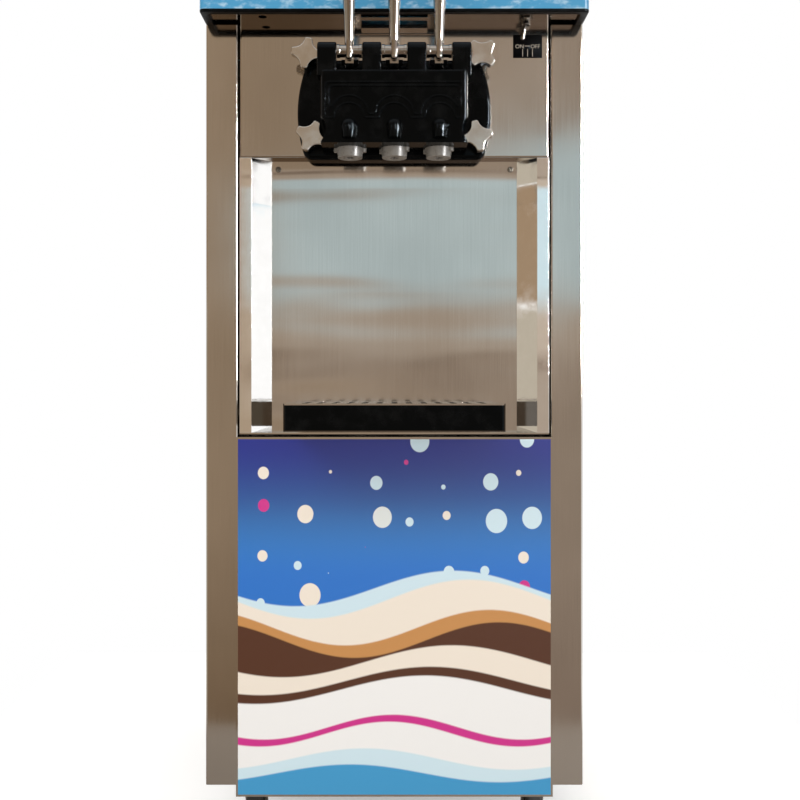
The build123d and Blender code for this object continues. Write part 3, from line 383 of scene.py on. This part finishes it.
def lay_print(tree, shader, colour):
    """Give the shader a printed colour, with the fibre of its sheet in the gloss and in a faint relief."""
    fibre = noise(tree, print_fibre, 2.0)
    connect(tree, shader, Base_Color=colour, Roughness=spread(tree, fibre, 0.3, 0.7, 0.28, 0.4))
    relief(tree, shader, fibre, 0.02, 0.0002)


def picture_print():
    """Blue ground with sprinkles, and sweet-coloured waves below."""
    finish, tree, shader = new_finish("picture_print", **print_coat)
    across, up = panel_place(tree, picture_low, picture_high)
    colour = blend_colours(tree, spread(tree, up, -0.1, 1.0, 0, 1), ink["sky"], ink["deep blue"])
    colour = blend_colours(tree, spread(tree, up, 0.2, 0.7, 0, 1), ink["blue"], colour)
    colour = sprinkles(tree, across, up, colour, sprinkle_cells, sprinkle_radius)
    for level, swing, turns, phase, name in picture_waves:
        mask = below_wave(tree, across, up, level, swing, turns, phase)
        colour = blend_colours(tree, mask, colour, ink[name])
    lay_print(tree, shader, colour)
    return finish


def header_print():
    """Blue ground that deepens upwards, with small pale clouds."""
    finish, tree, shader = new_finish("header_print", **print_coat)
    low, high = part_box("header_shell")
    up = panel_place(tree, low, high)[1]
    clouds = noise(tree, header_clouds, 4.0)
    ground = blend_colours(tree, spread(tree, up, -1.0, 1.0, 0, 1), header_foot, header_brow)
    colour = blend_colours(tree, spread(tree, clouds, 0.45, 0.7, 0.0, 0.55), ground, ink["ice"])
    lay_print(tree, shader, colour)
    return finish


dress(picture_print(), "picture_panel")
dress(header_print(), "header_shell")
print("prints on the header and the lower panel,", len(picture_waves), "waves")

# %% [markdown]
# ## Small pieces on the front sheets
# Two screws hold the splash plate, and a label sits under the switch. A screw's pan head is a surface over
# rings and turns: its height falls from the crown as the square root of one less most of the radius squared,
# and a cross is pressed into it. The arrays for every ring and turn are worked out in one go.

# %% Screws
ring_count = 10
turn_count = 40
screw_radius = 0.0042
screw_crown = 0.0022
screw_inset = 0.0525
screw_drop = 0.0115
cross_width = 0.13
cross_reach = 0.62


def add_piece(name, points, faces, finish, body="cabinet"):
    """A new object at the origin that rides on a body; points are in the frame of the CAD."""
    mesh = bpy.data.meshes.new(name)
    mesh.from_pydata(np.asarray(points).tolist(), [], faces)
    mesh.polygons.foreach_set("use_smooth", np.ones(len(mesh.polygons), dtype=bool))
    mesh.materials.append(finish)
    piece = bpy.data.objects.new(name, mesh)
    bpy.context.collection.objects.link(piece)
    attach(piece, body)
    return piece


def ring_faces(rings, turns):
    """Quads between neighbouring rings, and one face that closes the first ring."""
    ring, turn = np.meshgrid(np.arange(rings - 1), np.arange(turns), indexing="ij")
    after = (turn + 1) % turns
    quads = np.stack([ring * turns + turn, (ring + 1) * turns + turn, (ring + 1) * turns + after,
                      ring * turns + after], axis=-1).reshape(-1, 4)
    return quads.tolist() + [list(range(turns))]


def screw_head(centre):
    """Pan head facing -Y: height crown * sqrt(1 - 0.8 r^2), less a cross of two smooth bars."""
    fraction = np.append(np.linspace(0.06, 1.0, ring_count), 1.0)
    turn = np.linspace(0.0, 2 * pi, turn_count, endpoint=False)
    r, angle = np.meshgrid(fraction, turn, indexing="ij")
    u, v = r * np.cos(angle), r * np.sin(angle)
    level_bar = np.exp(-(v / cross_width) ** 4 - (u / cross_reach) ** 8)
    upright_bar = np.exp(-(u / cross_width) ** 4 - (v / cross_reach) ** 8)
    height = screw_crown * (np.sqrt(1 - 0.8 * r ** 2) - 0.5 * np.maximum(level_bar, upright_bar))
    height[-1] = 0.0
    points = np.stack([screw_radius * u, -height, screw_radius * v], axis=-1) + np.array(centre)
    return points.reshape(-1, 3), ring_faces(ring_count + 1, turn_count)


screw_steel = polished_steel("screw_steel", (0.3, 0.28, 0.25), (0.14, 0.13, 0.11), (0.15, 0.3))
for side, sign in zip(pair, (-1, 1)):
    points, faces = screw_head((sign * (fascia_high[0] - screw_inset), recess_y, recess_top - screw_drop))
    add_piece("splash_screw_" + side, points, faces, screw_steel)
print("two screws,", len(points), "points each")

# %% [markdown]
# The label is a thin black plate with two words and four strokes, so a user knows which way to push the
# lever. Text is made as a curve, turned into a mesh and stood up on the fascia: its flat x and y become the
# machine's X and Z. The label hangs on the fascia's upper right corner, and its strokes on its own middle.

# %% Switch label
label_size = np.array([0.0415, 0.033])
label_inset = np.array([0.01, 0.0183])
label_high = np.array([fascia_high[0], fascia_high[2]]) - label_inset
label_low = label_high - label_size
label_thickness = 0.0004
label_margin = 0.002
letter_height = 0.0056
letter_scale = 1.4
word_margin = 0.003
word_gap = 0.004
dash_reach = 0.003
stroke = 0.0009
stroke_step = 0.007
stroke_shift = -0.0005
stroke_drop = 0.004


def slab(low, high, back, thickness):
    """Thin box on the plane y = back that faces -Y, from its low to its high corner in X and Z."""
    x = np.array([low[0], high[0]])
    z = np.array([low[1], high[1]])
    y = np.array([back - thickness, back])
    points = np.stack(np.meshgrid(x, y, z, indexing="ij"), axis=-1).reshape(-1, 3)
    faces = [(0, 4, 5, 1), (2, 3, 7, 6), (0, 1, 3, 2), (4, 6, 7, 5), (1, 5, 7, 3), (0, 2, 6, 4)]
    return points, faces


def standing_word(name, word, place, size, finish):
    """A word as a flat mesh in front of the label, with its left foot at a place in X and Z."""
    curve = bpy.data.curves.new(name, "FONT")
    curve.body = word
    curve.size = size
    holder = bpy.data.objects.new(name + "_curve", curve)
    mesh = bpy.data.meshes.new_from_object(holder)
    flat = np.empty(3 * len(mesh.vertices))
    mesh.vertices.foreach_get("co", flat)
    flat = flat.reshape(-1, 3)
    y = np.full(len(flat), front_y - 2 * label_thickness)
    points = np.column_stack([flat[:, 0] + place[0], y, flat[:, 1] + place[1]])
    faces = [list(polygon.vertices) for polygon in mesh.polygons]
    bpy.data.objects.remove(holder)
    return add_piece(name, points, faces, finish)


label_ink = plain_finish("label_ink", (0.5, 0.45, 0.38), (0.36, 0.32, 0.26), (0.4, 0.6), 0.002)
label_black = moulded_black("label_black", (0.006, 0.006, 0.007), (0.3, 0.45), 0.002)
plate = add_piece("switch_label", *slab(label_low, label_high, front_y, label_thickness), label_black)
middle = (label_low + label_high) / 2
words = {"ON": (label_low[0] + word_margin, middle[1] - letter_height / 2),
         "OFF": (middle[0] + word_gap, middle[1] - letter_height / 2)}
for word, place in words.items():
    letters = standing_word("label_" + word.lower(), word, place, letter_height * letter_scale, label_ink)
strokes = [(middle + (-word_gap, 0), middle + (dash_reach, stroke))]
for column in (-1, 0, 1):
    left = middle[0] + column * stroke_step + stroke_shift
    strokes.append(((left, label_low[1] + label_margin), (left + stroke, middle[1] - stroke_drop)))
for k, (low, high) in enumerate(strokes):
    points, faces = slab(low, high, front_y - label_thickness, label_thickness)
    add_piece("label_stroke_%d" % k, points, faces, label_ink)
print("label with", len(words), "words and", len(strokes), "strokes")

# %% [markdown]
# ## The studio
# The floor is a plain pale sheet, and the world is white to the camera, so the machine stands on white as a
# cut-out does. Steel shows what is round it, so to everything else the world is a room: a bright window on
# the right, a cream and bronze wall on the left, and in front a warm tone that darkens towards the floor,
# with one cool patch where daylight falls on the wall behind the camera. The machine's front mirrors that
# patch on its splash plate and right column. Each tone is picked by the way a ray leaves, from -1 to 1 on
# each axis.

# %% Floor and world
floor_half = 0.8
floor_drop = 0.002
floor_glow = 0.35
tone = {"wall, left": (0.42, 0.32, 0.225), "wall, right": (0.43, 0.35, 0.28),
        "foot, left": (0.2, 0.13, 0.075), "foot, right": (0.28, 0.21, 0.165),
        "rail": (0.25, 0.185, 0.14), "lit wall": (0.56, 0.465, 0.375), "daylight": (0.66, 0.82, 0.88),
        "window": (1.08, 1.08, 1.08), "sky": (0.5, 0.74, 0.86), "lintel": (0.42, 0.38, 0.34),
        "cream wall": (0.52, 0.46, 0.37), "bronze wall": (0.37, 0.26, 0.165),
        "bright rail": (1.0, 0.98, 0.95), "back": (0.9, 0.9, 0.9), "ceiling": (0.95, 0.95, 0.95)}
bright_rails = (0.08, 0.192)
rail_half = 0.003


def make_floor():
    """Flat square under the machine that is pale to the camera, brown to other rays and keeps its shadow."""
    corner = np.array([[-1, -1], [1, -1], [1, 1], [-1, 1]]) * floor_half
    points = np.column_stack([corner, np.full(4, -floor_drop)])
    mesh = bpy.data.meshes.new("floor")
    mesh.from_pydata(points.tolist(), [], [(0, 1, 2, 3)])
    floor = bpy.data.objects.new("floor", mesh)
    bpy.context.collection.objects.link(floor)
    finish, tree, shader = new_finish("floor_paper", Roughness=0.9, Emission_Color=(1, 1, 1, 1))
    speckle = noise(tree, (300.0, 300.0, 300.0), 2.0)
    paper = blend_colours(tree, speckle, (0.8, 0.8, 0.79), (0.86, 0.86, 0.855))
    seen = add(tree, "LightPath").outputs["Is Camera Ray"]
    connect(tree, shader, Base_Color=blend_colours(tree, seen, (0.3, 0.26, 0.22), paper))
    connect(tree, shader, Emission_Strength=spread(tree, seen, 0.0, 1.0, 0.0, floor_glow, False))
    mesh.materials.append(finish)


def between(tree, value, low, high, softness):
    """1 between two limits, 0 outside them, with soft ends."""
    above = spread(tree, value, low - softness, low + softness, 0.0, 1.0)
    below = spread(tree, value, high - softness, high + softness, 1.0, 0.0)
    return add(tree, "Math", {0: above, 1: below}, operation="MULTIPLY").outputs[0]


def wall_in_front(tree, across, up):
    """Warm wall, darker towards the floor, with a lit patch that holds a dark rail and cool daylight."""
    side = spread(tree, across, -0.17, 0.17, 0.0, 1.0)
    warm = blend_colours(tree, side, tone["wall, left"], tone["wall, right"])
    low = blend_colours(tree, side, tone["foot, left"], tone["foot, right"])
    wall = blend_colours(tree, spread(tree, up, -0.4, -0.05, 0.0, 1.0), low, warm)
    rail = between(tree, up, 0.0, 0.027, 0.01)
    daylight = blend_colours(tree, rail, tone["lit wall"], tone["rail"])
    daylight = blend_colours(tree, spread(tree, up, 0.066, 0.1, 0.0, 1.0), daylight, tone["daylight"])
    slanted = add(tree, "Math", {0: across, 1: -0.15, 2: up}, operation="MULTIPLY_ADD").outputs[0]
    from_left = spread(tree, across, -0.165, -0.115, 0.0, 1.0)
    level = between(tree, slanted, -0.006, 0.218, 0.006)
    patch = add(tree, "Math", {0: from_left, 1: level}, operation="MULTIPLY").outputs[0]
    return blend_colours(tree, patch, wall, daylight)


def walls_at_sides(tree, across, up):
    """White window with sky above it on the right; cream wall, bronze above, with two rails on the left."""
    above_window = spread(tree, up, 0.175, 0.187, 0.0, 1.0)
    above_sky = spread(tree, up, 0.21, 0.22, 0.0, 1.0)
    above_cream = spread(tree, up, 0.076, 0.08, 0.0, 1.0)
    window = blend_colours(tree, above_window, tone["window"], tone["sky"])
    window = blend_colours(tree, above_sky, window, tone["lintel"])
    wall = blend_colours(tree, above_cream, tone["cream wall"], tone["bronze wall"])
    for level in bright_rails:
        rail = between(tree, up, level - rail_half, level + rail_half, 0.002)
        wall = blend_colours(tree, rail, wall, tone["bright rail"])
    return blend_colours(tree, spread(tree, across, -0.05, 0.05, 0.0, 1.0), wall, window)


def make_world():
    """White to the camera; to everything else a room with a window on the right."""
    world = bpy.data.worlds.new("studio")
    bpy.context.scene.world = world
    world.use_nodes = True
    tree = world.node_tree
    way = add(tree, "TexCoord").outputs["Generated"]
    parts = add(tree, "SeparateXYZ", {0: way})
    across, back, up = parts.outputs[0], parts.outputs[1], parts.outputs[2]
    aside = add(tree, "Math", {0: across}, operation="ABSOLUTE").outputs[0]
    room = blend_colours(tree, spread(tree, aside, 0.4, 0.65, 0.0, 1.0), wall_in_front(tree, across, up),
                         walls_at_sides(tree, across, up))
    room = blend_colours(tree, spread(tree, back, -0.05, 0.15, 0.0, 1.0), room, tone["back"])
    room = blend_colours(tree, spread(tree, up, 0.45, 0.7, 0.0, 1.0), room, tone["ceiling"])
    seen = add(tree, "LightPath").outputs["Is Camera Ray"]
    colour = blend_colours(tree, seen, room, (1.0, 1.0, 1.0))
    tree.links.new(colour, tree.nodes["Background"].inputs["Color"])


make_floor()
make_world()
print("floor and world ready")

# %% [markdown]
# ## Lamps and camera
# One large soft lamp from the upper left does the modelling, one fills from the front, a little below eye
# height, and a tall strip on the right draws the bright lines down the black head and the handles. The camera
# stands level in front of the machine, a little above the drip tray, so that it just sees the tray's grid
# from above. Its lens is shifted down, which keeps upright lines upright and frames the machine's front.

# %% Lamps and camera
eye_height = 0.672
picture_height = 0.651
eye_distance = 1.4
lens = 44.0
side_shift = 0.0071
warm_white = (1.0, 0.98, 0.95)
soft_white = (1.0, 0.99, 0.97)
strip_white = (1.0, 0.99, 0.98)


def soft_lamp(name, place, target, width, height, power, colour, mirrored):
    """Rectangular lamp aimed at a point; a mirrored one shows in glossy surfaces and lights nothing else."""
    light = bpy.data.lights.new(name, "AREA")
    light.shape = "RECTANGLE"
    light.size = width
    light.size_y = height
    light.energy = power
    light.color = colour
    lamp = bpy.data.objects.new(name, light)
    lamp.visible_glossy = mirrored
    lamp.visible_diffuse = not mirrored
    bpy.context.collection.objects.link(lamp)
    lamp.location = place
    lamp.rotation_euler = (Vector(target) - Vector(place)).to_track_quat("-Z", "Y").to_euler()


soft_lamp("key_lamp", (-1.6, -2.2, 2.3), (0, 0, 0.7), 1.6, 1.2, 26.0, warm_white, False)
soft_lamp("fill_lamp", (0.2, -2.8, 0.6), (0, 0, 0.4), 1.6, 1.0, 26.0, soft_white, False)
soft_lamp("right_strip", (1.5, -1.4, 1.2), (0, -0.3, 1.05), 0.07, 1.0, 90.0, strip_white, True)

camera_data = bpy.data.cameras.new("camera")
camera_data.lens = lens
camera_data.shift_x = side_shift
camera_data.shift_y = (picture_height - eye_height) / eye_distance * lens / camera_data.sensor_width
camera = bpy.data.objects.new("camera", camera_data)
bpy.context.collection.objects.link(camera)
camera.location = (0.0, front_y - eye_distance, eye_height)
camera.rotation_euler = (radians(90), 0, 0)
bpy.context.scene.camera = camera
bpy.context.scene.view_settings.view_transform = "Standard"
print("camera at", [round(v, 3) for v in camera.location])
